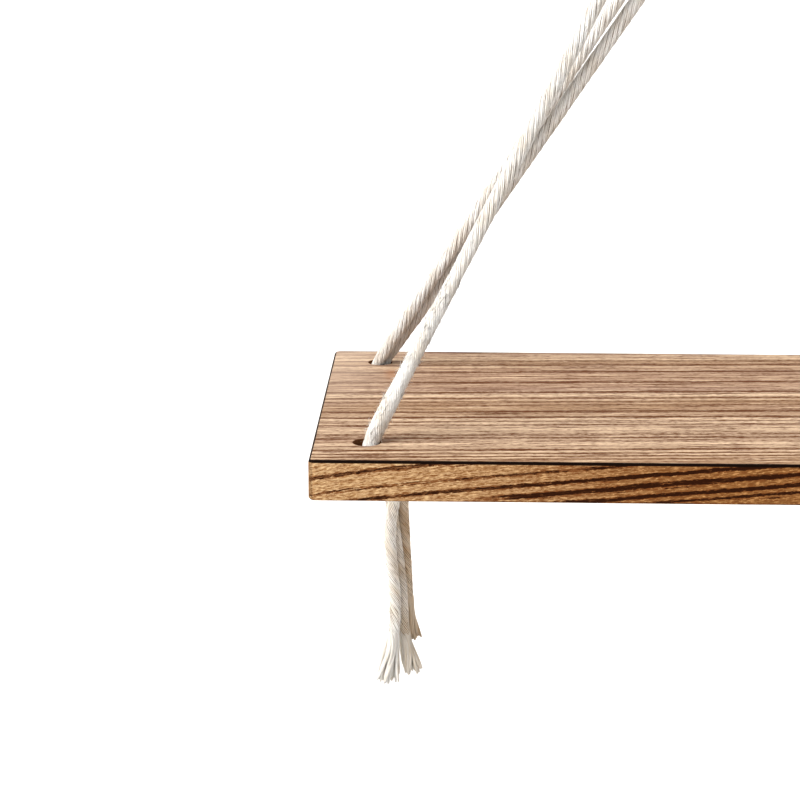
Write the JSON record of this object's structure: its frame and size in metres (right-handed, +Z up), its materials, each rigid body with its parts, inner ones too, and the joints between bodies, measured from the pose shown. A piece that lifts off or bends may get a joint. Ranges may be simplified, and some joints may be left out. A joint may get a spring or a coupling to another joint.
{
  "type": "hanging rope shelf",
  "caption": "Wooden plank shelf hung by cotton ropes through drilled corner holes, the ropes wound on a D-ring on a ceiling hook and tied in frayed tassels below.",
  "frame": {"origin": "on the ceiling, at the axis of the hook's screw: the top of the hook's flange", "axes": "+X along the plank to its right end, +Y to its rear edge, +Z up out of the ceiling hook's flange along its screw"},
  "size_m": [0.41, 0.21, 0.5402],
  "materials": {
    "steel": "bright nickel-plated steel",
    "cotton": "undyed twisted cotton",
    "wood": "oiled softwood with burnt grain"
  },
  "bodies": {
    "hook": {"ceiling_hook": "steel"},
    "ring": {"d_ring": "steel"},
    "shelf": {"rope_turns_left": "cotton", "rope_turns_middle": "cotton", "rope_turns_right": "cotton", "front_leg_left": "cotton", "rear_outer_leg_left": "cotton", "rear_inner_leg_left": "cotton", "front_leg_right": "cotton", "rear_outer_leg_right": "cotton", "rear_inner_leg_right": "cotton", "plank": "wood", "gathering_knot_left": "cotton", "gathering_knot_right": "cotton", "front_tail_left": "cotton", "front_tail_right": "cotton", "rear_outer_tail_left": "cotton", "rear_outer_tail_right": "cotton", "rear_inner_tail_left": "cotton", "rear_inner_tail_right": "cotton"}
  },
  "joints": [
    {"name": "ring_rock", "type": "hinge", "parent": "hook", "child": "ring", "pos_m": [0, 0, -0.036], "axis": [0, 1, 0], "range_deg": [-30, 30]},
    {"name": "shelf_swing", "type": "hinge", "parent": "ring", "child": "shelf", "pos_m": [0, 0, -0.082], "axis": [1, 0, 0], "range_deg": [-30, 30]}
  ]
}
